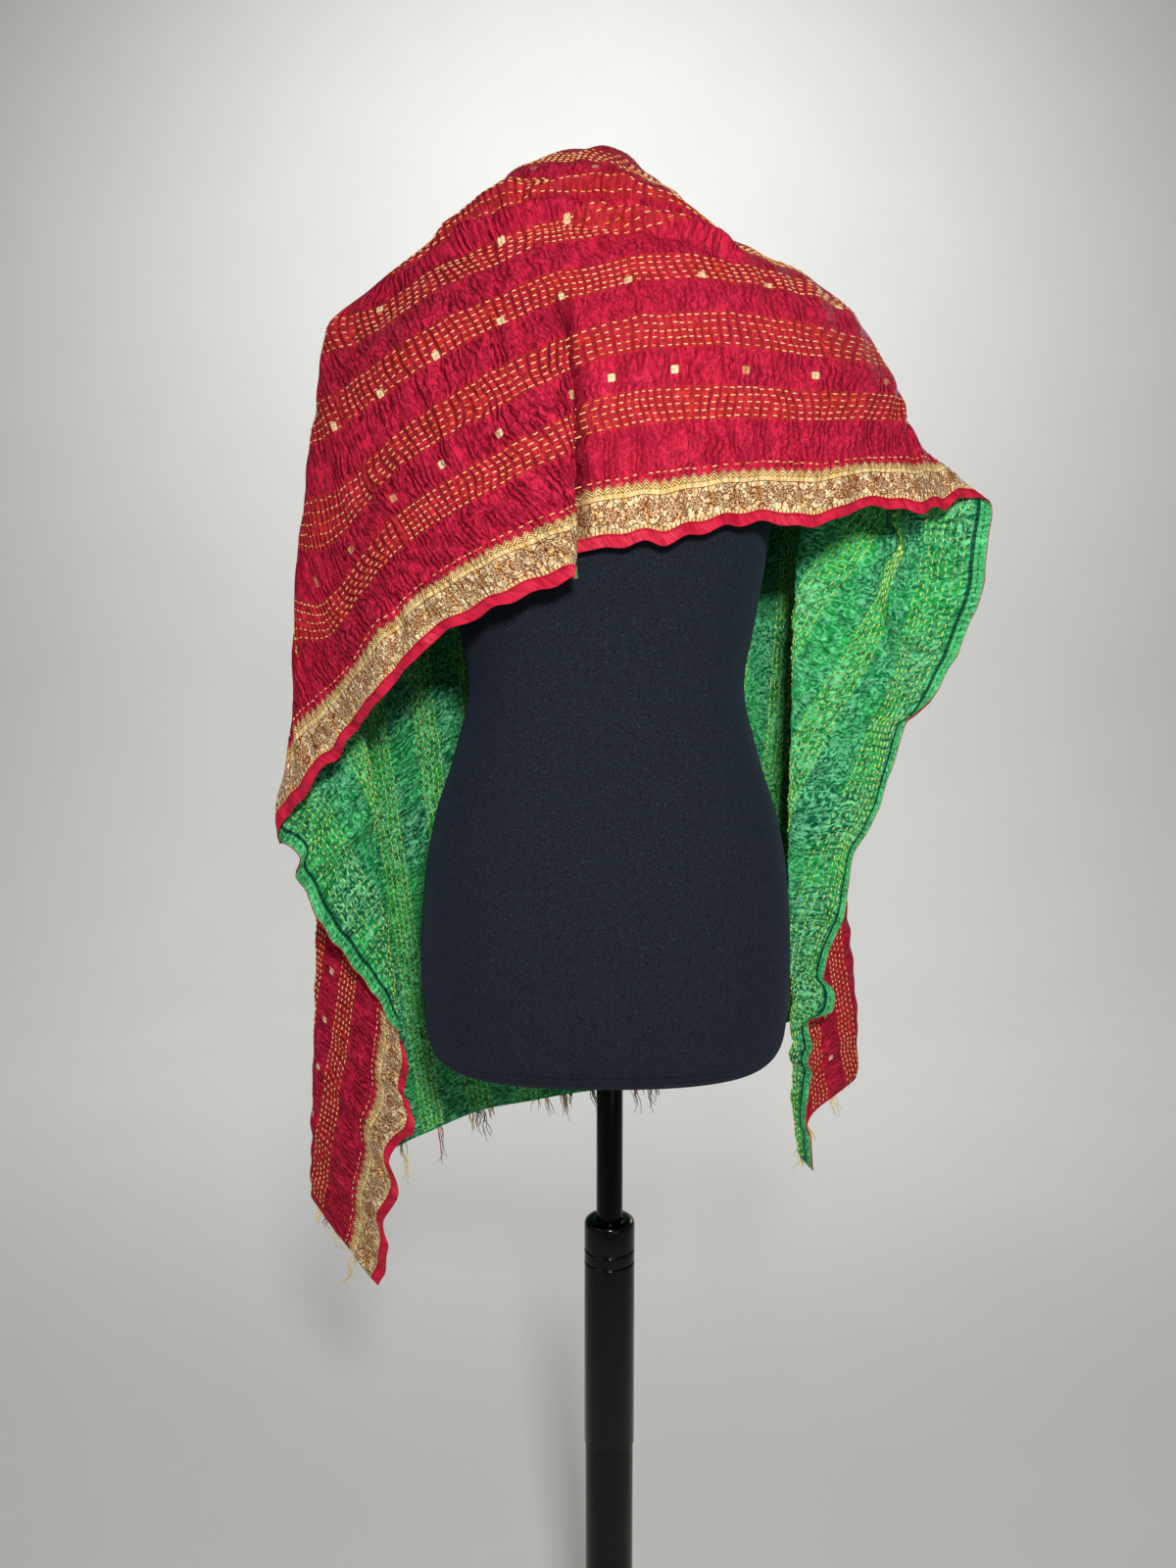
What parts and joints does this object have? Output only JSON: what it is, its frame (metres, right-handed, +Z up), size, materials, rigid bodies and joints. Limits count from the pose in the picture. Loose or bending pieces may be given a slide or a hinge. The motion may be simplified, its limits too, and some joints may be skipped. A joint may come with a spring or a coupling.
{
  "type": "silk shawl on dress form",
  "caption": "Long stitched silk shawl draped over the shoulders of a limbless dress form, its ends folded behind, on a height-adjustable round stand.",
  "frame": {"origin": "centre of the base plate's underside", "axes": "+Z up along the stand's tube, -Y towards the front of the form, +X to the right seen from the front"},
  "size_m": [0.6465, 0.3882, 1.6506],
  "materials": {
    "shawl_silk": "satin",
    "hem_silk": "satin",
    "fringe_threads": "matte",
    "form_jersey": "matte",
    "stand_metal": "gloss"
  },
  "bodies": {
    "stand": {"base_plate": "stand_metal", "outer_sleeve": "stand_metal", "clamp_collar": "stand_metal"},
    "tube": {"height_tube": "stand_metal"},
    "dressed_form": {"dress_form": "form_jersey", "front_panel": "shawl_silk", "left_fall": "shawl_silk", "right_fall": "shawl_silk", "front_hem": "hem_silk", "left_hem": "hem_silk", "right_hem": "hem_silk", "left_fringe": "fringe_threads", "right_fringe": "fringe_threads"}
  },
  "joints": [
    {"name": "height_slide", "type": "slide", "parent": "stand", "child": "tube", "axis": [0, 0, 1], "range_m": [-0.12, 0.15]},
    {"name": "form_swivel", "type": "hinge", "parent": "tube", "child": "dressed_form", "pos_m": [0, 0, 0.812], "axis": [0, 0, 1], "continuous": true}
  ]
}
